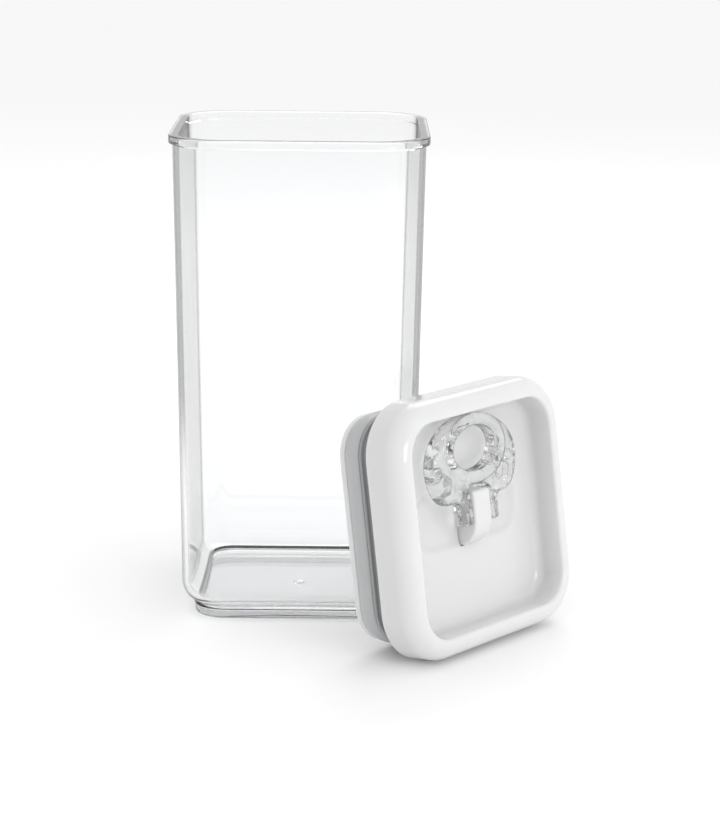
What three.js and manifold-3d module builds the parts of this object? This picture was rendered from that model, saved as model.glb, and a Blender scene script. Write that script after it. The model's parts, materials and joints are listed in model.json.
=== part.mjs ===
// A square storage canister with a plug lid.
//
// The canister stands on its foot. Its lid is off and leans against the front right corner,
// top face outwards, so the lid's own parts are built flat in a group of their own and the
// group is then stood on edge and turned.
//
// Canister frame: origin on the table under the middle of the foot, +Z up.
// Lid frame: origin in the middle of the cap's lower edge, +Z out of the cap's top face,
// +Y towards the lever's grip, +X along the lever's hinge.
// All sizes are in millimetres.

import * as THREE from 'three';
import { mergeVertices } from 'three/addons/utils/BufferGeometryUtils.js';
import Module from 'manifold-3d';

const wasm = await Module();
wasm.setup();

// ---------------------------------------------------------------- driving dimensions

const GAP = 0.3;                   // between neighbouring pieces
const QUARTER_STEPS = 7;           // facets around each corner of the square outlines

// Every square outline is this central square, grown outwards with round corners.
const CENTRE_SQUARE = 29.5;        // half of its side

const canister = {
  height: 197.4,
  wall: 2.5,
  rimHalf: 52,                     // outer half width of the rim flange
  rimDepth: 3.4,
  topHalf: 50.4,                   // outer half width just under the rim
  bottomHalf: 47.7,                // outer half width at the foot of the walls
  bottomFillet: 9,
  footHalf: 42.4,
  footHeight: 4.3,
  footCove: 0.5,                   // small cove between the foot and the fillet above it
  floorThickness: 2.8,
};

const cap = {
  half: 51,
  height: 17,
  skirt: 2.55,                     // thickness of the outer skirt
  shoulderIn: 7,                   // the outer edge rounds in by this much
  shoulderDown: 8,                 // over this height
  recessEdgeHalf: 43,
  recessFloorHalf: 39.6,
  recessFloor: 4.2,                // height of the recess floor above the lower edge
  floorThickness: 2.6,
};

const trough = {                   // shallow oval pocket around the lever's legs
  halfWidth: 31.5,
  low: -10.6,
  high: 12.6,
  corner: 11,
  depth: 1,
};

const pad = {                      // the two shoulders that the legs' cams bear on
  top: 7.6,
  front: -4.5,
  back: 4,
  noseLength: 3,
};

const liner = {
  half: 48.1,
  top: 1.3,
  neckHalf: 43.5,
  neckWall: 1.8,
  lipHalf: 45.4,
  lipTop: -7.4,
  bottom: -8.8,
  panel: 1.8,
};

const gasket = {
  outerHalf: 45,
  bulge: 0.9,
  innerHalf: 42.2,
  top: -9.1,
  bottom: -16.1,
};

const plate = {
  half: 45,
  top: -16.4,
  bottom: -19.5,
  edge: 1.1,
  ringHalf: 41.8,                  // upstand that holds the gasket from inside
  ringWall: 2,
  ringTop: -12.2,
};

const stem = {
  halfThickness: 5,
  top: 13.2,
  front: -11.5,                    // the nose meets the recess floor here
  back: 10.8,
  noseLength: 12,
  noseHeight: 9,
  shoulder: -3,                    // below this the stem is a narrower shank
  shankHalf: 6,
  pivotHole: 1.4,
};

const lever = {
  pivotHeight: 10.4,               // hinge axis, above the cap's lower edge
  pivotForward: -1,                // and along the lid
  travel: 0.8,                     // how far the stem drops as the lever stands up
  stub: 1.2,
  stubReach: 2.3,
  legInner: 5.3,
  legOuter: 10.2,
  legTop: 2.1,                     // top of the legs above the hinge axis
  gripHalf: 25.8,
  gripBottom: 7.2,
  gripTop: 41,
  gripWaist: 22,                   // where the grip is widest
  gripCorner: 9,
  gripBack: 5,
  gripFront: 12,
  gripRound: 1.9,
  holeHalf: 13.2,
  holeHeightHalf: 8.6,
  holeCentre: 27.4,
  archHalf: 5.6,
  archTop: 12.6,
  archCorner: 3,
};

const screw = {
  spacing: 7,
  shank: 1.2,
  head: 2.7,
  headHeight: 1.5,
  length: 10,
  clearance: 0.3,
};

const lean = {
  x: 64.66,                        // middle of the cap's lower edge, from the canister's middle
  y: -59.59,
  turn: 48,                        // degrees, top face turned from straight ahead to the right
  tilt: 8.6,                       // degrees, leaning back towards the canister
};

// ---------------------------------------------------------------- shared shape making

// A point on a rounded square outline of the given half width.
function squareOutlinePoint(half, column) {
  const quarter = Math.floor(column / (QUARTER_STEPS + 1)) % 4;
  const step = column % (QUARTER_STEPS + 1);
  const angle = (quarter + step / QUARTER_STEPS) * Math.PI / 2;
  const cornerAngle = (quarter + 0.5) * Math.PI / 2;
  const smallest = CENTRE_SQUARE + 4;
  const grown = Math.max(half, smallest);
  const shrink = half / grown;
  const centre = CENTRE_SQUARE * Math.SQRT2;
  const radius = grown - CENTRE_SQUARE;
  return new THREE.Vector2(
    shrink * (centre * Math.cos(cornerAngle) + radius * Math.cos(angle)),
    shrink * (centre * Math.sin(cornerAngle) + radius * Math.sin(angle)),
  );
}

// A lathe whose turns follow a rounded square instead of a circle. The profile is a list of
// [half width, height] that goes anticlockwise round the section, seen with the axis at its left.
function squareLathe(profile) {
  const points = profile.map(([half, height]) => new THREE.Vector2(half, height));
  const columns = 4 * (QUARTER_STEPS + 1);
  const geometry = new THREE.LatheGeometry(points, columns);
  const position = geometry.attributes.position;
  for (let column = 0; column <= columns; column += 1) {
    points.forEach((point, row) => {
      const place = squareOutlinePoint(point.x, column);
      position.setXYZ(column * points.length + row, place.x, place.y, point.y);
    });
  }
  return geometry;
}

// Points of a quarter ellipse from one end to the other.
function quarter(centre, reach, fromDegrees, toDegrees, steps) {
  const points = [];
  for (let step = 0; step <= steps; step += 1) {
    const angle = THREE.MathUtils.degToRad(fromDegrees + (toDegrees - fromDegrees) * step / steps);
    points.push([centre[0] + reach[0] * Math.cos(angle), centre[1] + reach[1] * Math.sin(angle)]);
  }
  return points;
}

// A closed three.js geometry as a manifold solid. Triangles that shrink to a line are left out.
function toSolid(geometry) {
  const bare = geometry.clone();
  bare.deleteAttribute('normal');
  bare.deleteAttribute('uv');
  const merged = mergeVertices(bare, 1e-4);
  const index = Array.from(merged.index.array);
  const kept = [];
  for (let i = 0; i < index.length; i += 3) {
    const [a, b, c] = index.slice(i, i + 3);
    if (a !== b && b !== c && c !== a) {
      kept.push(a, b, c);
    }
  }
  return new wasm.Manifold(new wasm.Mesh({
    numProp: 3,
    vertProperties: new Float32Array(merged.attributes.position.array),
    triVerts: new Uint32Array(kept),
  }));
}

function toGeometry(solid) {
  const mesh = solid.getMesh();
  const geometry = new THREE.BufferGeometry();
  geometry.setAttribute('position', new THREE.BufferAttribute(mesh.vertProperties, 3));
  geometry.setIndex(new THREE.BufferAttribute(mesh.triVerts, 1));
  return geometry;
}

function box(low, high) {
  const size = high.map((value, axis) => value - low[axis]);
  const geometry = new THREE.BoxGeometry(...size);
  geometry.translate(...high.map((value, axis) => (value + low[axis]) / 2));
  return geometry;
}

// A cylinder along the lid's Z between two heights.
function upright(radius, x, y, low, high, facets = 24) {
  const geometry = new THREE.CylinderGeometry(radius, radius, high - low, facets);
  geometry.rotateX(Math.PI / 2);
  geometry.translate(x, y, (low + high) / 2);
  return geometry;
}

// A cylinder along the hinge axis between two places on X.
function crosswise(radius, left, right, facets = 24) {
  const geometry = new THREE.CylinderGeometry(radius, radius, right - left, facets);
  geometry.rotateZ(Math.PI / 2);
  geometry.translate((left + right) / 2, lever.pivotForward, lever.pivotHeight);
  return geometry;
}

// Extrudes an outline drawn in the lid's Y and Z along X, between two places on X.
function sideExtrude(outline, left, right) {
  const shape = new THREE.Shape(outline.map(([y, z]) => new THREE.Vector2(y, z)));
  const geometry = new THREE.ExtrudeGeometry(shape, { depth: right - left, bevelEnabled: false });
  // The shape's x and y become the lid's Y and Z, and its depth becomes X.
  const turn = new THREE.Matrix4().makeBasis(
    new THREE.Vector3(0, 1, 0),
    new THREE.Vector3(0, 0, 1),
    new THREE.Vector3(1, 0, 0),
  );
  geometry.applyMatrix4(turn);
  geometry.translate(left, 0, 0);
  return geometry;
}

function piece(name, geometry, colour, roughness, metalness = 0, opacity = 1) {
  const material = new THREE.MeshStandardMaterial({
    color: colour,
    roughness,
    metalness,
    opacity,
    transparent: opacity < 1,
  });
  const mesh = new THREE.Mesh(geometry, material);
  mesh.name = name;
  return mesh;
}

// ---------------------------------------------------------------- canister

// One moulding: a hollow foot that steps in for stacking, drafted walls and a flat rim flange.
function canisterBody() {
  const c = canister;
  const fillet = c.bottomFillet;
  const inner = fillet - c.wall;
  const wallStart = c.footHeight + fillet;
  const rimBottom = c.height - c.rimDepth;
  const draft = (c.topHalf - c.bottomHalf) / (rimBottom - wallStart);
  const mouthHalf = c.topHalf + draft * c.rimDepth - c.wall;
  const footInner = c.footHalf - c.wall;
  const ledge = c.footHeight + c.floorThickness;
  const profile = [
    [0, 0],
    [c.footHalf - 1, 0],
    [c.footHalf, 1],
    [c.footHalf, c.footHeight - c.footCove],
    [c.footHalf + c.footCove, c.footHeight],
    ...quarter([c.bottomHalf - fillet, wallStart], [fillet, fillet], -70, 0, 5),
    [c.topHalf, rimBottom],
    [c.rimHalf - 0.5, rimBottom],
    [c.rimHalf, rimBottom + 0.5],
    [c.rimHalf, c.height - 0.6],
    [c.rimHalf - 0.6, c.height],
    [mouthHalf + 0.4, c.height],
    [mouthHalf, c.height - 0.4],
    ...quarter([c.bottomHalf - fillet, wallStart], [inner, inner], 0, -70, 5),
    [footInner + 0.6, ledge],
    [footInner, ledge - 0.6],
    [footInner - 0.6, c.floorThickness],
    [0, c.floorThickness],
  ];
  return piece('canister_body', toGeometry(toSolid(squareLathe(profile))), 0xf4f6f6, 0.05, 0, 0.35);
}

// ---------------------------------------------------------------- lid

// Outer moulding: a skirt, a soft raised border and the sunken top with the lever's slot.
function lidCap() {
  const c = cap;
  const underFloor = c.recessFloor - c.floorThickness;
  const skirtInner = c.half - c.skirt;
  const edge = c.recessEdgeHalf;
  const profile = [
    [0, underFloor],
    [c.recessFloorHalf + 1, underFloor],
    [edge + 0.2, 6],
    [edge + 1.4, c.height - 3.4],
    [skirtInner - 3, c.height - 3.4],
    [skirtInner, c.height - c.shoulderDown],
    [skirtInner, 0],
    [c.half - 0.4, 0],
    [c.half, 0.5],
    ...quarter([c.half - c.shoulderIn, c.height - c.shoulderDown], [c.shoulderIn, c.shoulderDown], 0, 90, 7),
    [edge + 1, c.height - 0.1],
    [edge, c.height - 0.7],
    [edge - 0.8, c.height - 2],
    [edge - 1.1, c.recessFloor + 4.6],
    [edge - 1.6, c.recessFloor + 1.6],
    [c.recessFloorHalf, c.recessFloor],
    [0, c.recessFloor],
  ];
  const slot = box(
    [-stem.halfThickness - GAP, stem.front - GAP, 0],
    [stem.halfThickness + GAP, stem.back + GAP, pad.top + 1],
  );
  const solid = toSolid(squareLathe(profile))
    .subtract(toSolid(legTrough()))
    .add(toSolid(legPads()))
    .subtract(toSolid(slot));
  return piece('lid_cap', toGeometry(solid), 0xf2f2f2, 0.18);
}

// The oval pocket that is cut into the recess floor.
function legTrough() {
  const t = trough;
  const right = t.halfWidth - t.corner;
  const outline = [
    ...quarter([right, t.low + t.corner], [t.corner, t.corner], -90, 0, 5),
    ...quarter([right, t.high - t.corner], [t.corner, t.corner], 0, 90, 5),
    ...quarter([-right, t.high - t.corner], [t.corner, t.corner], 90, 180, 5),
    ...quarter([-right, t.low + t.corner], [t.corner, t.corner], 180, 270, 5),
  ];
  const shape = new THREE.Shape(outline.map(([x, y]) => new THREE.Vector2(x, y)));
  const geometry = new THREE.ExtrudeGeometry(shape, { depth: 3, bevelEnabled: false });
  geometry.translate(0, 0, cap.recessFloor - t.depth);
  return geometry;
}

// A block across both legs whose front end curves down to the floor. The stem's slot splits it.
function legPads() {
  const base = cap.recessFloor - cap.floorThickness + 0.5;
  const noseHeight = pad.top - cap.recessFloor + trough.depth;
  const nose = [pad.front + pad.noseLength, pad.top - noseHeight];
  const outline = [
    [pad.front, base],
    [pad.back, base],
    [pad.back, pad.top - 0.8],
    [pad.back - 0.8, pad.top],
    ...quarter(nose, [pad.noseLength, noseHeight], 90, 180, 6),
  ];
  return sideExtrude(outline, -lever.legOuter, lever.legOuter);
}

// Inner moulding: closes the cap from below, with a neck and a thin lip above the gasket.
function lidLiner() {
  const l = liner;
  const neckInner = l.neckHalf - l.neckWall;
  const profile = [
    [0, l.bottom],
    [l.lipHalf, l.bottom],
    [l.lipHalf, l.lipTop],
    [l.neckHalf, l.lipTop + 0.6],
    [l.neckHalf, GAP],
    [l.half, GAP],
    [l.half, l.top],
    [neckInner, l.top],
    [neckInner, l.bottom + l.panel],
    [0, l.bottom + l.panel],
  ];
  const slot = box(
    [-stem.halfThickness - GAP, -stem.shankHalf - GAP, l.bottom - 1],
    [stem.halfThickness + GAP, stem.shankHalf + GAP, l.bottom + l.panel + 1],
  );
  return piece('lid_liner', toGeometry(
    toSolid(squareLathe(profile)).subtract(toSolid(slot)),
  ), 0xe9eaea, 0.35);
}

// Soft ring that the lever squeezes until it bulges against the canister's walls.
function sealingGasket() {
  const g = gasket;
  const middle = (g.top + g.bottom) / 2;
  const halfHeight = (g.top - g.bottom) / 2;
  const profile = [
    ...quarter([g.outerHalf, middle], [g.bulge, halfHeight], -90, 90, 6),
    [g.innerHalf, g.top],
    [g.innerHalf, g.bottom],
    [g.outerHalf, g.bottom],
  ];
  return piece('sealing_gasket', toGeometry(toSolid(squareLathe(profile))), 0xb9bbbc, 0.45);
}

// Bottom plate that squeezes the gasket, with an upstand inside it and two screw holes.
function pressurePlate() {
  const p = plate;
  const ringInner = p.ringHalf - p.ringWall;
  const profile = [
    [0, p.bottom],
    [p.half - p.edge, p.bottom],
    [p.half - 0.3 * p.edge, p.bottom + 0.3 * p.edge],
    [p.half, p.bottom + p.edge],
    [p.half, p.top - 0.3],
    [p.half - 0.3, p.top],
    [p.ringHalf, p.top],
    [p.ringHalf, p.ringTop],
    [ringInner, p.ringTop],
    [ringInner, p.top],
    [0, p.top],
  ];
  let solid = toSolid(squareLathe(profile));
  for (const side of [-1, 1]) {
    const y = side * screw.spacing / 2;
    const headSeat = p.bottom + screw.headHeight + screw.clearance;
    solid = solid
      .subtract(toSolid(upright(screw.shank + screw.clearance, 0, y, p.bottom - 1, p.top + 1)))
      .subtract(toSolid(upright(screw.head + screw.clearance, 0, y, p.bottom - 1, headSeat)));
  }
  return piece('pressure_plate', toGeometry(solid), 0xf3f3f3, 0.2);
}

// White fin between the lever's legs. It goes down through the cap to the pressure plate.
function plungerStem() {
  const s = stem;
  const noseCentre = [s.front + s.noseLength, s.top - s.noseHeight];
  const outline = [
    [-s.shankHalf, plate.top + GAP],
    [s.shankHalf, plate.top + GAP],
    [s.shankHalf, s.shoulder],
    [s.back, s.shoulder],
    [s.back, s.top - 1.5],
    [s.back - 0.5, s.top - 0.4],
    [s.back - 1.5, s.top],
    ...quarter(noseCentre, [s.noseLength, s.noseHeight], 90, 180, 8),
    [s.front, s.shoulder],
    [-s.shankHalf, s.shoulder],
  ];
  let solid = toSolid(sideExtrude(outline, -s.halfThickness, s.halfThickness))
    .subtract(toSolid(crosswise(s.pivotHole, -s.halfThickness - 1, s.halfThickness + 1)));
  for (const side of [-1, 1]) {
    const pilot = upright(screw.shank + screw.clearance, 0, side * screw.spacing / 2,
      plate.top - 1, plate.bottom + screw.length + 2);
    solid = solid.subtract(toSolid(pilot));
  }
  return piece('plunger_stem', toGeometry(solid), 0xf1f1f1, 0.2);
}

// The grip seen from above: a dome over a squarer bottom edge, with an arch that clears the stem.
// It is drawn smaller than the real outline by the rounding that its edges then grow by.
function gripOutline() {
  const l = lever;
  const inset = l.gripRound;
  const half = l.gripHalf - inset;
  const bottom = l.gripBottom + inset;
  const crown = l.gripTop - inset - l.gripWaist;
  const archTop = l.archTop + inset;
  const archHalf = l.archHalf + inset;
  const archCorner = l.archCorner + inset;
  const right = [
    ...quarter([archHalf - archCorner, archTop - archCorner], [archCorner, archCorner], 90, 15, 4),
    [archHalf, bottom],
    ...quarter([half - l.gripCorner, l.gripWaist], [l.gripCorner, l.gripWaist - bottom], -90, -15, 5),
    ...quarter([0, l.gripWaist], [half, crown], 0, 84, 12),
  ];
  const left = right.map(([x, y]) => [-x, y]).reverse();
  return [...right, [0, l.gripTop - inset], ...left];
}

function gripHole() {
  const l = lever;
  const reach = [l.holeHalf + l.gripRound, l.holeHeightHalf + l.gripRound];
  return quarter([0, l.holeCentre], reach, 360, 15, 23);
}

// One leg seen from the side, about the hinge axis. Its end is a cam: as the lever stands up,
// the side that faces the recess floor comes closer to the hinge by the stem's travel.
function legOutline() {
  const l = lever;
  const flatReach = l.pivotHeight - pad.top - GAP;
  const drop = l.travel / (Math.PI / 2);
  const outline = [];
  const camSteps = 8;
  for (let step = 0; step <= camSteps; step += 1) {
    const angle = Math.PI / 2 * step / camSteps;
    const reach = flatReach - drop * angle;
    // Support curve: the reach along its own direction, and its rate of change across it.
    const y = -reach * Math.sin(angle) + drop * Math.cos(angle);
    const z = -reach * Math.cos(angle) - drop * Math.sin(angle);
    outline.push([y, z]);
  }
  const end = -flatReach + l.travel;
  const root = l.gripBottom - l.pivotForward;
  const gripTop = l.gripFront - l.pivotHeight;
  const gripBack = l.gripBack - l.pivotHeight;
  outline.push([end, 0.6]);
  outline.push([end + 0.4, l.legTop - 0.3]);
  outline.push([end + 1, l.legTop]);
  outline.push([root - 1, l.legTop]);
  outline.push([root + 3, gripTop - 1]);
  outline.push([root + 3, gripBack + 1]);
  outline.push([root, gripBack + 1]);
  outline.push([root - 2, -flatReach]);
  return outline.reverse().map(([y, z]) => [y + l.pivotForward, z + l.pivotHeight]);
}

// Clear lever: a finger ring on two legs, with a stub on each leg that turns in the stem.
function flipLever() {
  const l = lever;
  const toPoint = ([x, y]) => new THREE.Vector2(x, y);
  const shape = new THREE.Shape(gripOutline().map(toPoint));
  shape.holes.push(new THREE.Path(gripHole().map(toPoint)));
  const grip = new THREE.ExtrudeGeometry(shape, {
    depth: l.gripFront - l.gripBack - 2 * l.gripRound,
    bevelEnabled: true,
    bevelThickness: l.gripRound,
    bevelSize: l.gripRound,
    bevelSegments: 3,
  });
  grip.translate(0, 0, l.gripBack + l.gripRound);
  let solid = toSolid(grip);
  for (const side of [-1, 1]) {
    const near = side * l.legInner;
    const far = side * l.legOuter;
    const tip = near - side * l.stubReach;
    const leg = sideExtrude(legOutline(), Math.min(near, far), Math.max(near, far));
    const inLeg = near + side;
    solid = solid
      .add(toSolid(leg))
      .add(toSolid(crosswise(l.stub, Math.min(tip, inLeg), Math.max(tip, inLeg))));
  }
  return piece('flip_lever', toGeometry(solid), 0xeef2f4, 0.05, 0, 0.35);
}

// Pan-head screws that hold the pressure plate to the stem from below.
function stemScrew(name, side) {
  const y = side * screw.spacing / 2;
  const low = plate.bottom + 0.1;
  const profile = [
    [0, low],
    [screw.head - 0.4, low],
    [screw.head, low + 0.4],
    [screw.head, low + screw.headHeight],
    [screw.shank, low + screw.headHeight],
    [screw.shank, low + screw.length - 1],
    [0, low + screw.length],
  ].map(([radius, height]) => new THREE.Vector2(radius, height));
  const geometry = new THREE.LatheGeometry(profile, 20);
  geometry.rotateX(Math.PI / 2);
  geometry.translate(0, y, 0);
  const drive = upright(1.0, 0, y, low - 1, low + 0.9, 6);
  return piece(name, toGeometry(toSolid(geometry).subtract(toSolid(drive))), 0xa8aaad, 0.35, 1);
}

// ---------------------------------------------------------------- assembly

const lidParts = new THREE.Group();
lidParts.add(
  lidCap(),
  lidLiner(),
  sealingGasket(),
  pressurePlate(),
  plungerStem(),
  flipLever(),
  stemScrew('stem_screw_upper', 1),
  stemScrew('stem_screw_lower', -1),
);
lidParts.rotation.x = THREE.MathUtils.degToRad(90 - lean.tilt);

// The lid stands on the cap's lower side, so its middle is half the cap's width up the slope.
const leaningLid = new THREE.Group();
leaningLid.add(lidParts);
leaningLid.rotation.z = THREE.MathUtils.degToRad(lean.turn);
leaningLid.position.set(lean.x, lean.y, cap.half * Math.cos(THREE.MathUtils.degToRad(lean.tilt)));

const model = new THREE.Group();
model.add(canisterBody(), leaningLid);

export default model;
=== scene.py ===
import json
import math

import bmesh
import bpy
from mathutils import Matrix, Vector


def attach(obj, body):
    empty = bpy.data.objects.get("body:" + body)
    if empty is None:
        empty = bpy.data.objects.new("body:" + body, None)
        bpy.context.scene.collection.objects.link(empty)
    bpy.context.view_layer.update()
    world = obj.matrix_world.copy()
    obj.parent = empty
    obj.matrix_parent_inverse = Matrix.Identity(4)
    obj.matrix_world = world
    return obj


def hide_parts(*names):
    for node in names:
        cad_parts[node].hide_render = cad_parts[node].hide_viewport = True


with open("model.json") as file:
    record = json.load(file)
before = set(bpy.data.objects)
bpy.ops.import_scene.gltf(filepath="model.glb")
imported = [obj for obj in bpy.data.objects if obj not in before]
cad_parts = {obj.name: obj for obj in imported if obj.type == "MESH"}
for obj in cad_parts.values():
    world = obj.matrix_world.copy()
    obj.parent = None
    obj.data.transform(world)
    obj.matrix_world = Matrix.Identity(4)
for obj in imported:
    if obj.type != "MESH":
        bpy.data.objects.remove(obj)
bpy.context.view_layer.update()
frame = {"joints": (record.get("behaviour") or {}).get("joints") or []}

MM = 0.001

# ---------------------------------------------------------------- camera
# A long lens stands a metre in front of the canister, a little above its rim, looking down.

camera_place = Vector((21.6, -984.3, 317.9)) * MM
camera_pitch = math.radians(13.92)      # below the horizon
camera_yaw = math.radians(0.21)         # to the right
camera_roll = math.radians(0.58)

camera_data = bpy.data.cameras.new("camera")
camera_data.lens = 103.5
camera_data.sensor_width = 36
camera = bpy.data.objects.new("camera", camera_data)
camera.matrix_world = (
    Matrix.Translation(camera_place)
    @ Matrix.Rotation(-camera_yaw, 4, "Z")
    @ Matrix.Rotation(math.pi / 2 - camera_pitch, 4, "X")
    @ Matrix.Rotation(camera_roll, 4, "Z")
)
bpy.context.collection.objects.link(camera)
bpy.context.scene.camera = camera


# ---------------------------------------------------------------- table and studio light
# A matt white table top, in a white room that is brighter towards the right front.
# Dark flags stand around it. Only light mirrored inside a clear piece sees them, so that clear
# edges read dark while everything else is lit by the white room.

def add_node(tree, kind, inputs=None, **settings):
    """Adds a shader node, sets its properties, and links or sets its inputs by name."""
    node = tree.nodes.new(kind)
    for name, value in settings.items():
        setattr(node, name, value)
    for name, value in (inputs or {}).items():
        if isinstance(value, bpy.types.NodeSocket):
            tree.links.new(value, node.inputs[name])
        else:
            node.inputs[name].default_value = value
    return node


def math_node(tree, operation, first, second=0.0, clamp=False):
    """Output of one Math node."""
    inputs = {0: first, 1: second}
    return add_node(tree, "ShaderNodeMath", inputs, operation=operation, use_clamp=clamp).outputs[0]


def new_material(name):
    """A material with an empty node tree, and its Principled shader wired to the output."""
    material = bpy.data.materials.new(name)
    material.use_nodes = True
    tree = material.node_tree
    tree.nodes.clear()
    shader = add_node(tree, "ShaderNodeBsdfPrincipled")
    add_node(tree, "ShaderNodeOutputMaterial", {"Surface": shader.outputs["BSDF"]})
    return material, tree, shader


table_half = 7.0
table_height = -0.0003
table_mesh = bpy.data.meshes.new("table_top")
table_mesh.from_pydata(
    [(-table_half, -table_half, table_height), (table_half, -table_half, table_height),
     (table_half, table_half, table_height), (-table_half, table_half, table_height)],
    [], [(0, 1, 2, 3)],
)
table = bpy.data.objects.new("table_top", table_mesh)
bpy.context.collection.objects.link(table)

table_material, tree, shader = new_material("table_white")
place = add_node(tree, "ShaderNodeTexCoord").outputs["Object"]
grain = add_node(tree, "ShaderNodeTexNoise", {"Vector": place, "Scale": 60.0, "Detail": 3.0})
tone = add_node(tree, "ShaderNodeValToRGB", {"Fac": grain.outputs["Fac"]})
tone.color_ramp.elements[0].color = (0.935, 0.935, 0.94, 1)
tone.color_ramp.elements[1].color = (0.95, 0.95, 0.955, 1)
tree.links.new(tone.outputs["Color"], shader.inputs["Base Color"])
shader.inputs["Roughness"].default_value = 0.6
shader.inputs["Specular IOR Level"].default_value = 0.0
# Away from the object, light mirrored in a clear piece sees a grey glow in place of the table: a painted
# dark reflection that darkens clear edges.
shade_fade_start, shade_fade_full, reflected_shade_grey = 0.16, 0.42, 0.45
distance = add_node(tree, "ShaderNodeVectorMath", {0: place}, operation="LENGTH").outputs["Value"]
reflected_shade_fade = add_node(tree, "ShaderNodeMapRange", {
    "Value": distance, "From Min": shade_fade_start, "From Max": shade_fade_full,
}, interpolation_type="SMOOTHSTEP")


def edge_light(tree):
    """1 for light that a clear piece has mirrored on its way in and out, otherwise 0."""
    path = add_node(tree, "ShaderNodeLightPath").outputs
    mirrored = math_node(tree, "GREATER_THAN", path["Glossy Depth"], 0.5)
    entered = math_node(tree, "GREATER_THAN", path["Transmission Depth"], 0.5)
    shallow = math_node(tree, "LESS_THAN", path["Transmission Depth"], 2.5)
    direct = math_node(tree, "LESS_THAN", path["Diffuse Depth"], 0.5)
    inside = math_node(tree, "MULTIPLY", entered, shallow)
    return math_node(tree, "MULTIPLY", math_node(tree, "MULTIPLY", mirrored, direct), inside)


mirrored = edge_light(tree)
reflected_shade_share = math_node(tree, "MULTIPLY", reflected_shade_fade.outputs["Result"], mirrored)
# Painted dark reflection: a grey glow on the table that only mirrored light sees.
painted_dark_reflection = add_node(tree, "ShaderNodeEmission", {"Strength": reflected_shade_grey})
table_look = add_node(tree, "ShaderNodeMixShader", {
    0: reflected_shade_share, 1: shader.outputs[0], 2: painted_dark_reflection.outputs[0],
})
output = next(node for node in tree.nodes if node.type == "OUTPUT_MATERIAL")
tree.links.new(table_look.outputs[0], output.inputs["Surface"])
table_mesh.materials.append(table_material)

world = bpy.data.worlds.new("white_room")
bpy.context.scene.world = world
world.use_nodes = True
tree = world.node_tree
tree.nodes.clear()
wall_left, wall_right = 0.74, 1.02      # brightness of the walls at the left back and right front
ceiling_white = 1.02
flag_grey = 0.08
brighter_towards = (0.8, -0.6, 0.0)
direction = add_node(tree, "ShaderNodeTexCoord").outputs["Generated"]
axes = add_node(tree, "ShaderNodeSeparateXYZ", {"Vector": direction})
towards = add_node(
    tree, "ShaderNodeVectorMath", {0: direction, 1: brighter_towards}, operation="DOT_PRODUCT",
)
walls = add_node(tree, "ShaderNodeMapRange", {
    "Value": towards.outputs["Value"], "From Min": -1.0, "From Max": 1.0,
    "To Min": wall_left, "To Max": wall_right,
})
overhead = add_node(tree, "ShaderNodeMapRange", {
    "Value": axes.outputs["Z"], "From Min": 0.3, "From Max": 0.7,
}, interpolation_type="SMOOTHSTEP")
room = add_node(tree, "ShaderNodeMix", {
    "Factor": overhead.outputs["Result"], "A": walls.outputs["Result"], "B": ceiling_white,
}, data_type="FLOAT")
flags = add_node(tree, "ShaderNodeMix", {
    "Factor": overhead.outputs["Result"], "A": flag_grey, "B": ceiling_white,
}, data_type="FLOAT")
mirrored = edge_light(tree)
path = add_node(tree, "ShaderNodeLightPath").outputs
lit = add_node(tree, "ShaderNodeMix", {
    "Factor": mirrored, "A": room.outputs["Result"], "B": flags.outputs["Result"],
}, data_type="FLOAT")
# Seen straight, or straight through something clear, the room is plain white.
bounced = math_node(tree, "MAXIMUM", mirrored, path["Diffuse Depth"])
straight = math_node(tree, "LESS_THAN", bounced, 0.5)
brightness = add_node(tree, "ShaderNodeMix", {
    "Factor": straight, "A": lit.outputs["Result"], "B": 1.0,
}, data_type="FLOAT")
backdrop = add_node(tree, "ShaderNodeBackground", {"Strength": brightness.outputs["Result"]})
backdrop.inputs["Color"].default_value = (1, 1, 1, 1)
add_node(tree, "ShaderNodeOutputWorld", {"Surface": backdrop.outputs["Background"]})


def softbox(name, place, target, size, power):
    """A square area light that faces the target."""
    light = bpy.data.lights.new(name, "AREA")
    light.shape = "RECTANGLE"
    light.size, light.size_y = size
    light.energy = power
    lamp = bpy.data.objects.new(name, light)
    lamp.location = Vector(place)
    lamp.rotation_mode = "QUATERNION"
    lamp.rotation_quaternion = (Vector(target) - Vector(place)).to_track_quat("-Z", "Y")
    bpy.context.collection.objects.link(lamp)


object_middle = (0.03, -0.03, 0.08)
softbox("key_softbox", (0.2, 0.8, 0.95), object_middle, (0.6, 0.6), 2.6)
softbox("fill_softbox", (0.75, -0.75, 0.28), object_middle, (0.35, 0.3), 2.4)
bpy.context.scene.view_settings.view_transform = "Standard"
# Light is followed far enough to cross the clear pieces' many faces.
bpy.context.scene.cycles.max_bounces = 24
bpy.context.scene.cycles.glossy_bounces = 12
bpy.context.scene.cycles.transmission_bounces = 20


# ---------------------------------------------------------------- canister
# One clear injection moulding: a hollow foot that steps in for stacking, slightly drafted walls
# with broad corners and a flat rim flange. The gate mark sits in the middle of the floor.

CENTRE_SQUARE = 29.5        # every square outline is this central square (half side) grown outwards
CORNER_STEPS = 16


def arc(centre, reach, start, end, steps):
    """Points of an elliptical arc, angles in degrees, both ends included."""
    points = []
    for step in range(steps + 1):
        angle = math.radians(start + (end - start) * step / steps)
        points.append((centre[0] + reach[0] * math.cos(angle), centre[1] + reach[1] * math.sin(angle)))
    return points


def square_ring(half, height):
    """One ring of points around a rounded square outline of that half width."""
    ring = []
    radius = half - CENTRE_SQUARE
    for quarter in range(4):
        corner = math.radians(45 + 90 * quarter)
        middle = Vector((math.cos(corner), math.sin(corner))) * CENTRE_SQUARE * math.sqrt(2)
        for step in range(CORNER_STEPS + 1):
            angle = math.radians(90 * (quarter + step / CORNER_STEPS))
            x = middle.x + radius * math.cos(angle)
            y = middle.y + radius * math.sin(angle)
            ring.append((x, y, height))
    return ring


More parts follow.
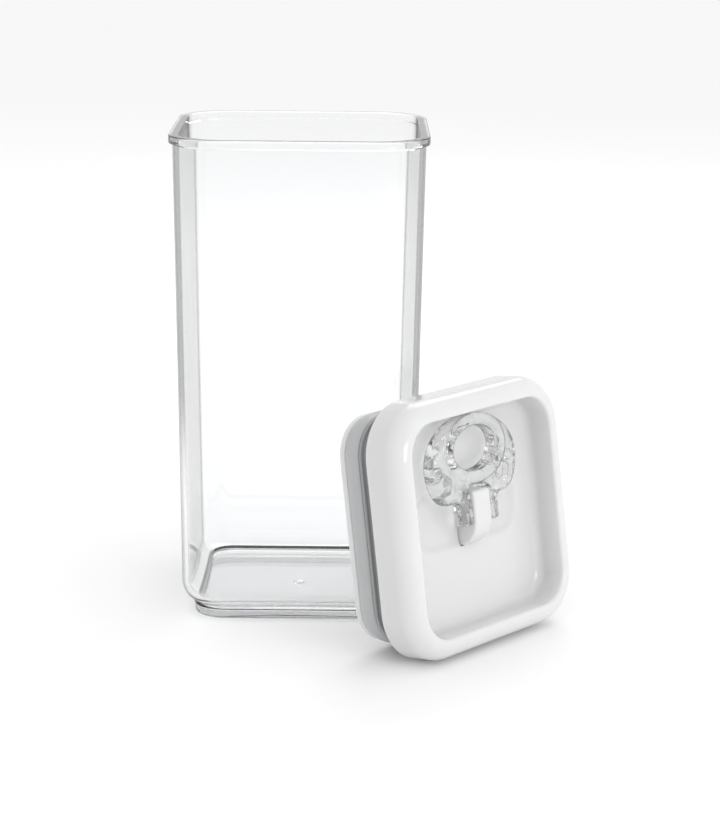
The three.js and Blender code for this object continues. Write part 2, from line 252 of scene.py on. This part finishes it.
def round_ring(radius, height, centre=(0, 0)):
    """One ring of points on a circle, in step with the points of a square ring."""
    count = 4 * (CORNER_STEPS + 1)
    ring = []
    for index in range(count):
        angle = 2 * math.pi * (index + 0.5) / count
        ring.append((centre[0] + radius * math.cos(angle), centre[1] + radius * math.sin(angle), height))
    return ring


def skin(rings, closed_section=False):
    """A bmesh of quads between rings of equal count. Open sections get a flat face at both ends."""
    work = bmesh.new()
    rows = [[work.verts.new(Vector(point) * MM) for point in ring] for ring in rings]
    pairs = list(zip(rows, rows[1:]))
    if closed_section:
        pairs.append((rows[-1], rows[0]))
    for low, high in pairs:
        for index in range(len(low)):
            after = (index + 1) % len(low)
            work.faces.new((low[index], low[after], high[after], high[index]))
    if not closed_section:
        work.faces.new(list(reversed(rows[0])))
        work.faces.new(rows[-1])
    bmesh.ops.recalc_face_normals(work, faces=work.faces)
    return work


def finish_piece(name, work, place=None, sharp=32):
    """Turns a bmesh into a smooth-shaded piece. Edges sharper than the angle stay crisp."""
    if place is not None:
        work.transform(place)
    for face in work.faces:
        face.smooth = True
    for edge in work.edges:
        edge.smooth = not edge.is_manifold or edge.calc_face_angle() < math.radians(sharp)
    mesh = bpy.data.meshes.new(name)
    work.to_mesh(mesh)
    work.free()
    piece = bpy.data.objects.new(name, mesh)
    bpy.context.collection.objects.link(piece)
    weighted = piece.modifiers.new("even_shading", "WEIGHTED_NORMAL")
    weighted.keep_sharp = True
    return piece


canister_height = 197.4
rim_bottom = 194.0
floor_top = 2.8
gate_radius = 2.1           # of the round mark where the plastic went in

outside = (
    arc((41.4, 1.0), (1.0, 1.0), -90, 0, 4)
    + [(42.4, 3.4)]
    + arc((43.0, 3.4), (0.6, 0.6), 180, 110, 3)
    + arc((38.7, 13.3), (9.0, 9.0), -68, 0, 12)
    + [(50.35, rim_bottom - 0.5), (50.9, rim_bottom)]
    + arc((51.5, rim_bottom + 0.5), (0.5, 0.5), -90, 0, 4)
    + arc((51.4, canister_height - 0.6), (0.6, 0.6), 0, 90, 5)
)
inside = (
    arc((48.35, canister_height - 0.4), (0.4, 0.4), 90, 180, 4)
    + arc((38.7, 13.3), (6.5, 6.5), 0, -72, 10)
    + arc((40.5, 6.5), (0.6, 0.6), 90, 180, 3)
    + arc((39.3, floor_top + 0.6), (0.6, 0.6), 0, -90, 3)
)
rings = [square_ring(half, height) for half, height in outside + inside]
# The gate mark: a faint round witness line with a trimmed nub in the middle.
rings += [
    round_ring(gate_radius + 0.35, floor_top),
    round_ring(gate_radius + 0.1, floor_top + 0.22),
    round_ring(gate_radius - 0.2, floor_top + 0.22),
    round_ring(gate_radius - 0.45, floor_top),
    round_ring(0.7, floor_top),
    round_ring(0.5, floor_top + 0.3),
]
canister = finish_piece("canister_body_clear", skin(rings))


def start_group(name, inputs, outputs):
    """A shader node group with named inputs and outputs. Inputs are (name, kind, value)."""
    group = bpy.data.node_groups.new(name, "ShaderNodeTree")
    for label, kind, value in inputs:
        socket = group.interface.new_socket(label, in_out="INPUT", socket_type=kind)
        socket.default_value = value
    for label, kind in outputs:
        group.interface.new_socket(label, in_out="OUTPUT", socket_type=kind)
    return group, add_node(group, "NodeGroupInput").outputs


def place_group(tree, group, **inputs):
    """Places a node group in a material, with values for its inputs."""
    node = add_node(tree, "ShaderNodeGroup", node_tree=group)
    for name, value in inputs.items():
        node.inputs[name.replace("_", " ")].default_value = value
    return node.outputs


FLOAT = "NodeSocketFloat"
COLOR = "NodeSocketColor"

# Height of the slow waviness and the fine orange peel that a polished mould leaves.
moulded_skin, given = start_group(
    "moulded_skin",
    [
        ("Wave Size", FLOAT, 30.0), ("Wave Height", FLOAT, 1.0),
        ("Peel Size", FLOAT, 1.2), ("Peel Height", FLOAT, 0.1),
    ],
    [("Height", FLOAT)],
)
position = add_node(moulded_skin, "ShaderNodeTexCoord").outputs["Object"]
height_parts = []
for size, height in (("Wave Size", "Wave Height"), ("Peel Size", "Peel Height")):
    scale = math_node(moulded_skin, "DIVIDE", 1000.0, given[size])
    noise = add_node(moulded_skin, "ShaderNodeTexNoise", {
        "Vector": position, "Scale": scale, "Detail": 1.0,
    })
    height_parts.append(math_node(moulded_skin, "MULTIPLY", noise.outputs["Fac"], given[height]))
total = math_node(moulded_skin, "ADD", height_parts[0], height_parts[1])
add_node(moulded_skin, "NodeGroupOutput", {"Height": total})

# Faint handling marks: smears that lift the roughness, and fine specks of dust.
handling_marks, given = start_group(
    "handling_marks",
    [("Clean", FLOAT, 0.02), ("Smeared", FLOAT, 0.1), ("Smear Size", FLOAT, 25.0), ("Dust", FLOAT, 0.02)],
    [("Roughness", FLOAT)],
)
position = add_node(handling_marks, "ShaderNodeTexCoord").outputs["Object"]
scale = math_node(handling_marks, "DIVIDE", 1000.0, given["Smear Size"])
smears = add_node(handling_marks, "ShaderNodeTexNoise", {
    "Vector": position, "Scale": scale, "Detail": 5.0, "Roughness": 0.6, "Distortion": 1.2,
})
smear_mask = add_node(handling_marks, "ShaderNodeMapRange", {
    "Value": smears.outputs["Fac"], "From Min": 0.48, "From Max": 0.75, "To Min": 0.0, "To Max": 1.0,
})
spread = math_node(handling_marks, "SUBTRACT", given["Smeared"], given["Clean"])
lifted = math_node(handling_marks, "MULTIPLY", smear_mask.outputs["Result"], spread)
roughness = math_node(handling_marks, "ADD", lifted, given["Clean"])
specks = add_node(handling_marks, "ShaderNodeTexVoronoi", {"Vector": position, "Scale": 420.0})
near = math_node(handling_marks, "LESS_THAN", specks.outputs["Distance"], 0.045)
dust = math_node(handling_marks, "MULTIPLY", near, given["Dust"])
rough_dust = math_node(handling_marks, "ADD", roughness, dust, clamp=True)
add_node(handling_marks, "NodeGroupOutput", {"Roughness": rough_dust})

# Colour that drifts slightly across a moulding, as pigment and wall thickness vary.
pigment_drift, given = start_group(
    "pigment_drift",
    [
        ("Color", COLOR, (1, 1, 1, 1)), ("Deep Color", COLOR, (0.9, 0.9, 0.9, 1)),
        ("Patch Size", FLOAT, 40.0),
    ],
    [("Color", COLOR)],
)
position = add_node(pigment_drift, "ShaderNodeTexCoord").outputs["Object"]
scale = math_node(pigment_drift, "DIVIDE", 1000.0, given["Patch Size"])
patches = add_node(pigment_drift, "ShaderNodeTexNoise", {
    "Vector": position, "Scale": scale, "Detail": 3.0,
})
mixed = add_node(pigment_drift, "ShaderNodeMix", {
    "Factor": patches.outputs["Fac"], 6: given["Color"], 7: given["Deep Color"],
}, data_type="RGBA")
add_node(pigment_drift, "NodeGroupOutput", {"Color": mixed.outputs[2]})


def plastic_finish(
    name, color, deep_color, clean, smeared, wave, peel, bump_reach, dust=0.02, wave_size=30.0,
):
    """A moulded plastic: drifting colour, handling marks and moulded skin on one Principled shader."""
    material, tree, shader = new_material(name)
    tint = place_group(tree, pigment_drift, Color=color, Deep_Color=deep_color)
    marks = place_group(tree, handling_marks, Clean=clean, Smeared=smeared, Dust=dust)
    surface = place_group(tree, moulded_skin, Wave_Size=wave_size, Wave_Height=wave, Peel_Height=peel)
    bump = add_node(tree, "ShaderNodeBump", {
        "Height": surface["Height"], "Strength": 1.0, "Distance": bump_reach,
    })
    tree.links.new(tint["Color"], shader.inputs["Base Color"])
    tree.links.new(marks["Roughness"], shader.inputs["Roughness"])
    tree.links.new(bump.outputs["Normal"], shader.inputs["Normal"])
    return material, tree, shader


def make_clear(tree, shader, index, density, edge_start, edge_full, painted_edge_grey, keep_level):
    """Lets light through: refraction and a faint grey in thick parts. At grazing angles the colour turns
    grey, a painted shade that darkens the clear edges.
    """
    # Painted shade: grey mixed into the colour at grazing angles stands in for the dark edges of clear
    # plastic.
    facing = add_node(tree, "ShaderNodeLayerWeight", {"Blend": 0.5}).outputs["Facing"]
    grazing = add_node(tree, "ShaderNodeMapRange", {
        "Value": facing, "From Min": edge_start, "From Max": edge_full,
    }, interpolation_type="SMOOTHSTEP")
    # Level faces, such as the floor, are always seen at a low angle and stay clear.
    normal = add_node(tree, "ShaderNodeTexCoord").outputs["Normal"]
    upward = add_node(tree, "ShaderNodeSeparateXYZ", {"Vector": normal}).outputs["Z"]
    level = math_node(tree, "POWER", math_node(tree, "ABSOLUTE", upward), 4.0)
    upright = math_node(tree, "SUBTRACT", 1.0, math_node(tree, "MULTIPLY", level, keep_level))
    painted_shade_share = math_node(tree, "MULTIPLY", grazing.outputs["Result"], upright)
    tint = shader.inputs["Base Color"].links[0].from_socket
    painted_edge_shade = add_node(tree, "ShaderNodeMix", {
        "Factor": painted_shade_share, 6: tint, 7: (painted_edge_grey, painted_edge_grey, painted_edge_grey, 1),
    }, data_type="RGBA")
    tree.links.new(painted_edge_shade.outputs[2], shader.inputs["Base Color"])
    shader.inputs["Transmission Weight"].default_value = 1.0
    shader.inputs["IOR"].default_value = index
    output = next(node for node in tree.nodes if node.type == "OUTPUT_MATERIAL")
    shadow_ray = add_node(tree, "ShaderNodeLightPath").outputs["Is Shadow Ray"]
    through = add_node(tree, "ShaderNodeBsdfTransparent")
    through.inputs["Color"].default_value = (0.985, 0.985, 0.985, 1)
    mix = add_node(tree, "ShaderNodeMixShader", {
        0: shadow_ray, 1: shader.outputs[0], 2: through.outputs[0],
    })
    tree.links.new(mix.outputs[0], output.inputs["Surface"])
    absorb = add_node(tree, "ShaderNodeVolumeAbsorption")
    absorb.inputs["Color"].default_value = (0.5, 0.52, 0.53, 1)
    absorb.inputs["Density"].default_value = density
    tree.links.new(absorb.outputs[0], output.inputs["Volume"])


clear_canister, tree, shader = plastic_finish(
    "clear_canister_plastic", (1, 1, 1, 1), (0.985, 0.99, 0.992, 1),
    clean=0.0, smeared=0.03, wave=0.6, peel=0.0, bump_reach=0.0001,
)
# The canister's edges get painted grey shade at grazing angles.
make_clear(tree, shader, 1.5, 10.0, edge_start=0.55, edge_full=1.0, painted_edge_grey=0.12, keep_level=1.0)
canister.data.materials.append(clear_canister)
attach(canister, "canister")
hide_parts("canister_body")


# ---------------------------------------------------------------- lid, its own frame
# The lid stands on one edge of its cap, turned to the right and leaning back on the canister.
# Its pieces are drawn flat, about the middle of the cap's lower edge, and placed by this frame.

joints = {joint["name"]: joint for joint in frame["joints"]}
hinge_forward = -1.0
hinge_height = 10.4
across = Vector(joints["lever_flip"]["axis"]).normalized()
outward = -Vector(joints["plunger_drop"]["axis"]).normalized()
upslope = outward.cross(across)
hinge = Vector(joints["lever_flip"]["pos_m"])
lid_origin = hinge - (upslope * hinge_forward + outward * hinge_height) * MM
lid_place = Matrix((across, upslope, outward)).transposed().to_4x4()
lid_place.translation = lid_origin


# ---------------------------------------------------------------- cap
# White glossy moulding: a skirt with a big soft shoulder and a sunken top. An oval pocket in the
# recess takes the lever's legs, which bear on two narrow pads either side of the stem's slot.

cap_half = 51.0
cap_height = 17.0
shoulder_wide, shoulder_high = 7.0, 8.0
edge_round = 0.4
recess_floor = 4.2
pocket_floor = 3.2
pocket_half_width, pocket_low, pocket_high, pocket_corner = 31.5, -10.6, 12.6, 11.0
slot_half_width, slot_front, slot_back = 5.3, -11.8, 11.1
pad_outer = 6.4             # outer side of the pads; the slot cuts away what lies between them


def oval_ring(grow, height):
    """One ring round the leg pocket, grown outwards, in step with the points of a square ring."""
    ring = []
    radius = pocket_corner + grow
    for quarter in range(4):
        right = quarter in (0, 3)
        top = quarter in (0, 1)
        x = (pocket_half_width - pocket_corner) * (1 if right else -1)
        y = pocket_high - pocket_corner if top else pocket_low + pocket_corner
        for step in range(CORNER_STEPS + 1):
            angle = math.radians(90 * (quarter + step / CORNER_STEPS))
            ring.append((x + radius * math.cos(angle), y + radius * math.sin(angle), height))
    return ring


def solid_from_outline(name, outline, along, low, high, rounding, holes=()):
    """Extrudes a closed outline with rounded edges. along "Z" draws it in X and Y, "X" in Y and Z."""
    curve = bpy.data.curves.new(name, "CURVE")
    curve.dimensions = "2D"
    curve.fill_mode = "BOTH"
    curve.extrude = ((high - low) / 2 - rounding) * MM
    curve.bevel_depth = rounding * MM
    curve.bevel_resolution = 5
    curve.offset = -rounding * MM
    for points in (outline, *holes):
        spline = curve.splines.new("POLY")
        spline.points.add(len(points) - 1)
        for point, (x, y) in zip(spline.points, points):
            point.co = (x * MM, y * MM, 0, 1)
        spline.use_cyclic_u = True
    holder = bpy.data.objects.new(name, curve)
    bpy.context.collection.objects.link(holder)
    depsgraph = bpy.context.evaluated_depsgraph_get()
    mesh = bpy.data.meshes.new_from_object(holder.evaluated_get(depsgraph))
    bpy.data.objects.remove(holder)
    work = bmesh.new()
    work.from_mesh(mesh)
    bmesh.ops.remove_doubles(work, verts=work.verts, dist=1e-6)
    if along == "X":
        work.transform(Matrix(((0, 0, 1, 0), (1, 0, 0, 0), (0, 1, 0, 0), (0, 0, 0, 1))))
        work.transform(Matrix.Translation(((low + high) / 2 * MM, 0, 0)))
    else:
        work.transform(Matrix.Translation((0, 0, (low + high) / 2 * MM)))
    bmesh.ops.recalc_face_normals(work, faces=work.faces)
    if work.calc_volume(signed=True) < 0:
        bmesh.ops.reverse_faces(work, faces=work.faces)
    return work


def combine(name, base, tools):
    """Joins or cuts closed solids one after another. tools are (operation, bmesh)."""
    body_mesh = bpy.data.meshes.new(name)
    base.to_mesh(body_mesh)
    base.free()
    body = bpy.data.objects.new(name, body_mesh)
    bpy.context.collection.objects.link(body)
    spare = []
    for operation, work in tools:
        tool_mesh = bpy.data.meshes.new("tool")
        work.to_mesh(tool_mesh)
        work.free()
        tool = bpy.data.objects.new("tool", tool_mesh)
        bpy.context.collection.objects.link(tool)
        cut = body.modifiers.new("combine", "BOOLEAN")
        cut.operation = operation
        cut.solver = "EXACT"
        cut.object = tool
        spare.append(tool)
    depsgraph = bpy.context.evaluated_depsgraph_get()
    mesh = bpy.data.meshes.new_from_object(body.evaluated_get(depsgraph))
    for extra in (*spare, body):
        bpy.data.objects.remove(extra)
    work = bmesh.new()
    work.from_mesh(mesh)
    bmesh.ops.remove_doubles(work, verts=work.verts, dist=2e-6)
    bmesh.ops.dissolve_degenerate(work, dist=1e-6, edges=work.edges)
    return work


cap_section = (
    [(41.0, 1.6), (43.2, 6.0), (44.4, 13.6), (45.45, 13.6)]
    + arc((44.45, 9.0), (4.0, 4.6), 90, 0, 6)[1:]
    + [(48.45, 0.0)]
    + arc((cap_half - edge_round, edge_round), (edge_round, edge_round), -90, 0, 3)
    + arc((cap_half - shoulder_wide, cap_height - shoulder_high), (shoulder_wide, shoulder_high), 0, 90, 20)
    + arc((cap_half - shoulder_wide, cap_height - 1.4), (1.6, 1.4), 100, 175, 6)
    + [(42.2, 14.6), (41.95, 12.0), (41.9, 8.8)]
    + arc((37.9, 8.2), (4.0, 4.0), -4, -90, 10)
)
cap_rings = [square_ring(half, height) for half, height in cap_section]
cap_rings += [
    oval_ring(1.6, recess_floor),
    oval_ring(0.9, recess_floor - 0.12),
    oval_ring(0.2, recess_floor - 0.4),
    oval_ring(-0.5, pocket_floor + 0.3),
    oval_ring(-1.2, pocket_floor + 0.07),
    oval_ring(-2.0, pocket_floor),
]
pad_outline = (
    [(-3.8, 2.4), (2.4, 2.4), (2.4, 6.4)]
    + arc((1.2, 6.4), (1.2, 1.2), 0, 90, 6)
    + arc((-1.2, 3.1), (2.6, 4.5), 90, 180, 14)
)
pads = solid_from_outline("pads", pad_outline, "X", -pad_outer, pad_outer, 0.5)
slot_outline = [
    (-slot_half_width, slot_front), (slot_half_width, slot_front),
    (slot_half_width, slot_back), (-slot_half_width, slot_back),
]
slot_cut = solid_from_outline("slot", slot_outline, "Z", 0.0, 9.0, 0.02)
cap_work = combine("cap", skin(cap_rings), [("UNION", pads), ("DIFFERENCE", slot_cut)])
cap = finish_piece("lid_cap_gloss", cap_work, lid_place)

white_gloss, tree, shader = plastic_finish(
    "white_gloss_plastic", (0.70, 0.70, 0.70, 1), (0.675, 0.675, 0.68, 1),
    clean=0.09, smeared=0.2, wave=0.5, peel=0.06, bump_reach=0.0002,
)
shader.inputs["Subsurface Weight"].default_value = 0.4
shader.inputs["Subsurface Radius"].default_value = (1, 1, 1)
shader.inputs["Subsurface Scale"].default_value = 0.006
cap.data.materials.append(white_gloss)
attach(cap, "lid")
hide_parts("lid_cap")


# ---------------------------------------------------------------- liner
# Satin inner moulding that snaps inside the skirt. Its neck and thin lip show above the gasket. Its white
# is darkened to a mid grey, a painted shade for the groove under the cap's skirt.

shank_slot_half = 6.3       # half length of the slot that lets the stem's shank through
liner_section = [
    (41.7, -7.0), (45.1, -8.8), (45.4, -8.5), (45.4, -7.7), (45.1, -7.4),
    (44.1, -7.2), (43.6, -6.7), (43.5, -6.0), (43.5, 0.3), (48.1, 0.3), (48.1, 1.3), (41.7, 1.3),
]
liner_rings = [square_ring(half, height) for half, height in liner_section[1:]]
liner_rings.append(square_ring(41.7, -7.0))
liner_work = skin(liner_rings)
liner_slot = solid_from_outline(
    "liner_slot",
    [(-slot_half_width, -shank_slot_half), (slot_half_width, -shank_slot_half),
     (slot_half_width, shank_slot_half), (-slot_half_width, shank_slot_half)],
    "Z", -10.0, -5.0, 0.02,
)
liner_work = combine("liner", liner_work, [("DIFFERENCE", liner_slot)])
liner = finish_piece("lid_liner_neck", liner_work, lid_place)
# Painted shade: the satin white is darkened to mid grey to stand for the shade in the groove under the
# skirt.
satin_painted_shade, tree, shader = plastic_finish(
    "white_satin_plastic", (0.34, 0.345, 0.35, 1), (0.31, 0.315, 0.32, 1),
    clean=0.28, smeared=0.4, wave=0.3, peel=0.15, bump_reach=0.0002,
)
liner.data.materials.append(satin_painted_shade)
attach(liner, "lid")
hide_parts("lid_liner")


# ---------------------------------------------------------------- gasket
# Soft translucent grey silicone ring, squeezed between the liner's lip and the pressure plate.
# Its outer face is slightly crowned, with the fine parting line that its mould leaves.

gasket_section = (
    [(42.3, -16.1), (44.7, -16.1)]
    + arc((44.9, -12.6), (0.95, 3.5), -86, -4, 8)
    + [(45.93, -12.7), (45.93, -12.5)]
    + arc((44.9, -12.6), (0.95, 3.5), 4, 86, 8)
    + [(44.7, -9.1), (42.3, -9.1)]
)
gasket_rings = [square_ring(half, height) for half, height in gasket_section]
gasket = finish_piece("sealing_gasket_silicone", skin(gasket_rings, closed_section=True), lid_place)
silicone, tree, shader = plastic_finish(
    "grey_silicone", (0.50, 0.505, 0.51, 1), (0.44, 0.445, 0.45, 1),
    clean=0.3, smeared=0.5, wave=0.3, peel=0.3, bump_reach=0.0002, dust=0.2,
)
shader.inputs["Subsurface Weight"].default_value = 0.25
shader.inputs["Subsurface Radius"].default_value = (1, 1, 1)
shader.inputs["Subsurface Scale"].default_value = 0.002
gasket.data.materials.append(silicone)
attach(gasket, "lid")
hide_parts("sealing_gasket")


# ---------------------------------------------------------------- pressure plate
# White plate that squeezes the gasket from below. An upstand inside the gasket keeps it in line,
# and two countersunk seats take the screws into the stem.

screw_spacing = 7.0
plate_section = (
    arc((43.9, -18.4), (1.1, 1.1), -90, 0, 8)
    + arc((44.7, -16.7), (0.3, 0.3), 0, 90, 4)
    + [(41.8, -16.4), (41.8, -12.5), (41.5, -12.2), (40.1, -12.2), (39.8, -12.5), (39.8, -16.4)]
)
plate_work = skin([square_ring(half, height) for half, height in plate_section])
plate_cuts = []
for side in (-1, 1):
    seat = [
        round_ring(1.5, -16.0, (0, side * screw_spacing / 2)),
        round_ring(1.5, -17.7, (0, side * screw_spacing / 2)),
        round_ring(3.0, -17.7, (0, side * screw_spacing / 2)),
        round_ring(3.0, -19.4, (0, side * screw_spacing / 2)),
        round_ring(3.2, -19.7, (0, side * screw_spacing / 2)),
    ]
    plate_cuts.append(("DIFFERENCE", skin(seat)))
plate = finish_piece("pressure_plate_gloss", combine("plate", plate_work, plate_cuts), lid_place)
plate.data.materials.append(white_gloss)
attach(plate, "plunger")
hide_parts("pressure_plate")


# ---------------------------------------------------------------- stem
# White fin between the lever's legs. It carries the hinge and goes down to the pressure plate.

shank_half = 6.0            # the shank below the fin is shorter, so it fits the liner's slot
stem_outline = (
    [(-shank_half, -16.1), (shank_half, -16.1), (shank_half, -3.0), (10.8, -3.0), (10.8, 11.7)]
    + arc((9.3, 11.7), (1.5, 1.5), 0, 90, 6)
    + arc((0.5, 4.2), (12.0, 9.0), 90, 180, 24)
    + [(-11.5, -3.0), (-shank_half, -3.0)]
)
stem = finish_piece(
    "plunger_stem_fin", solid_from_outline("stem", stem_outline, "X", -5.0, 5.0, 1.0), lid_place,
)
stem.data.materials.append(white_gloss)
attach(stem, "plunger")
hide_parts("plunger_stem")


# ---------------------------------------------------------------- lever
# Water-clear finger ring on two legs. A moulded stub on each leg turns in the stem, and the legs'
# ends are cams that bear on the cap's pads and let the stem drop as the ring is stood up.

grip_half, grip_corner = 25.8, 9.0
grip_bottom, grip_waist, grip_top = 7.2, 22.0, 41.0
grip_back, grip_front, grip_round = 5.0, 12.0, 2.4
hole_half, hole_height, hole_centre = 13.2, 8.6, 27.4
arch_half, arch_top, arch_corner = 5.6, 12.6, 3.0      # the gap between the legs
leg_inner, leg_outer = 5.3, 10.2
stub_tip, stub_radius = 3.0, 1.2                        # the hinge stubs, turning in the stem
flare = 4.0                 # radius of the concave flare where a leg meets the grip
flare_back, flare_front = 6.6, 11.8

right_side = (
    arc((arch_half - arch_corner, arch_top - arch_corner), (arch_corner, arch_corner), 90, 0, 6)
    + [(arch_half, grip_bottom)]
    + arc((grip_half - grip_corner, grip_waist), (grip_corner, grip_waist - grip_bottom), -90, 0, 14)
    + arc((0, grip_waist), (grip_half, grip_top - grip_waist), 0, 90, 24)[1:-1]
)
left_side = [(-x, y) for x, y in reversed(right_side)]
grip_outline = right_side + [(0, grip_top)] + left_side
hole_outline = arc((0, hole_centre), (hole_half, hole_height), 0, 352.5, 47)
grip = solid_from_outline("grip", grip_outline, "Z", grip_back, grip_front, grip_round, [hole_outline])

leg_top = 12.5
cam_reach = 2.5             # from the hinge to the pad while the ring lies flat
travel = 0.8                # how far the stem drops as the ring is stood up
drop = travel / (math.pi / 2)
cam_steps = 16
cam = []
for step in range(cam_steps + 1):
    angle = math.pi / 2 * step / cam_steps
    reach = cam_reach - drop * angle
    y = -reach * math.sin(angle) + drop * math.cos(angle)
    z = -reach * math.cos(angle) - drop * math.sin(angle)
    cam.append((y + hinge_forward, z + hinge_height))
leg_outline = (
    cam
    + [(-2.7, 11.3), (-2.3, 12.1), (-1.7, leg_top), (grip_bottom - 1, leg_top), (grip_bottom + 3, 11.6)]
    + [(grip_bottom + 3, 6.0), (grip_bottom, 6.0), (grip_bottom - 2, hinge_height - cam_reach)]
)
lever_tools = []
for side in (-1, 1):
    near, far = sorted((side * leg_inner, side * leg_outer))
    lever_tools.append(("UNION", solid_from_outline("leg", leg_outline, "X", near, far, 0.6)))
    flare_outline = (
        [(leg_outer - 2.0, grip_bottom + 3.0), (leg_outer - 2.0, grip_bottom - flare)]
        + arc((leg_outer + flare - 0.3, grip_bottom - flare + 0.3), (flare, flare), 180, 90, 8)
        + [(leg_outer + flare, grip_bottom + 3.0)]
    )
    flare_outline = [(side * x, y) for x, y in flare_outline]
    lever_tools.append(("UNION", solid_from_outline(
        "flare", flare_outline, "Z", flare_back, flare_front, 0.3,
    )))
    tip, root = sorted((side * stub_tip, side * (leg_inner + 1)))
    stub_outline = arc((hinge_forward, hinge_height), (stub_radius, stub_radius), 0, 345, 23)
    lever_tools.append(("UNION", solid_from_outline("stub", stub_outline, "X", tip, root, 0.2)))
# A rounded bead stands round the hole. Facetted pockets are cored out of the grip's shoulders
# from behind, which is what makes them glitter.
bead_reach, bead_height, bead_steps = 2.6, 1.2, 64
bead_sunk = 0.2             # keeps the bead rooted in the grip
bead = bmesh.new()
bead_rows = []
for step in range(bead_steps):
    turn = 2 * math.pi * step / bead_steps
    row = []
    for y, z in arc((0, 0), (bead_reach, bead_height), 0, 337.5, 15):
        out = Vector((math.cos(turn) / hole_half, math.sin(turn) / hole_height)).normalized()
        spread = bead_reach + bead_sunk + y
        row.append(bead.verts.new(Vector((
            hole_half * math.cos(turn) + out.x * spread,
            hole_centre + hole_height * math.sin(turn) + out.y * spread,
            grip_front - bead_sunk + z,
        )) * MM))
    bead_rows.append(row)
for row, after in zip(bead_rows, bead_rows[1:] + bead_rows[:1]):
    for index in range(len(row)):
        next_index = (index + 1) % len(row)
        bead.faces.new((row[index], after[index], after[next_index], row[next_index]))
bmesh.ops.recalc_face_normals(bead, faces=bead.faces)
lever_tools.append(("UNION", bead))
pocket_shapes = [
    # across, up, half width, half height, depth, first corner
    (17.8, 15.4, 4.4, 5.0, 8.6, 20),
    (21.4, 21.0, 1.9, 2.8, 9.8, 50),
]
for side in (-1, 1):
    for across_at, up_at, half_wide, half_high, depth, turned in pocket_shapes:
        pocket_outline = arc((side * across_at, up_at), (half_wide, half_high), turned, turned + 288, 4)
        pocket = solid_from_outline("pocket", pocket_outline, "Z", 2.0, depth, 0.4)
        lever_tools.append(("DIFFERENCE", pocket))
lever_work = combine("lever", grip, lever_tools)


def melt_together(work, grain, passes):
    """Blends the joints of a solid into soft moulded fillets: an even fine mesh, then smoothing."""
    mesh = bpy.data.meshes.new("melt")
    work.to_mesh(mesh)
    work.free()
    holder = bpy.data.objects.new("melt", mesh)
    bpy.context.collection.objects.link(holder)
    even = holder.modifiers.new("even", "REMESH")
    even.mode = "VOXEL"
    even.voxel_size = grain * MM
    soften = holder.modifiers.new("soften", "SMOOTH")
    soften.factor = 0.5
    soften.iterations = passes
    depsgraph = bpy.context.evaluated_depsgraph_get()
    soft = bmesh.new()
    soft.from_mesh(bpy.data.meshes.new_from_object(holder.evaluated_get(depsgraph)))
    bpy.data.objects.remove(holder)
    return soft


lever_work = melt_together(lever_work, grain=0.35, passes=3)
lever = finish_piece("flip_lever_clear", lever_work, lid_place, sharp=80)

clear_lever, tree, shader = plastic_finish(
    "clear_lever_plastic", (1, 1, 1, 1), (0.985, 0.988, 0.99, 1),
    clean=0.0, smeared=0.02, wave=1.0, peel=0.0, bump_reach=0.0009, wave_size=6.0,
)
# The lever's edges get painted grey shade at grazing angles.
make_clear(tree, shader, 1.52, 16.0, edge_start=0.34, edge_full=0.9, painted_edge_grey=0.04, keep_level=0.0)
lever.data.materials.append(clear_lever)
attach(lever, "lever")
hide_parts("flip_lever")


# ---------------------------------------------------------------- screws
# Two steel pan-head screws that hold the pressure plate to the stem, driven from below.

steel, tree, shader = plastic_finish(
    "brushed_screw_steel", (0.62, 0.62, 0.63, 1), (0.5, 0.5, 0.51, 1),
    clean=0.25, smeared=0.4, wave=0.2, peel=0.4, bump_reach=0.0003,
)
shader.inputs["Metallic"].default_value = 1.0
head_low = -19.4            # under side of the screw heads
thread_turns, thread_pitch = 9, 0.75
for name, side in (("upper", 1), ("lower", -1)):
    centre = (0, side * screw_spacing / 2)
    section = [
        (0.9, head_low + 0.9), (1.0, head_low + 0.8), (1.05, head_low + 0.05),
        (1.15, head_low), (2.2, head_low),
    ]
    section += arc((2.2, head_low + 0.5), (0.5, 0.5), -90, 0, 4)
    section += [(2.7, head_low + 1.5), (1.2, head_low + 1.5)]
    thread_start = head_low + 1.9
    for turn in range(thread_turns):
        root = thread_start + thread_pitch * turn
        section += [(1.0, root), (1.0, root + 0.2), (1.2, root + 0.4), (1.2, root + 0.5)]
    section += [(0.95, head_low + 9.0), (0.15, head_low + 10.0)]
    screw_work = skin([round_ring(radius, z, centre) for radius, z in section])
    screw = finish_piece(f"stem_screw_{name}_steel", screw_work, lid_place)
    screw.data.materials.append(steel)
    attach(screw, "plunger")
    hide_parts(f"stem_screw_{name}")
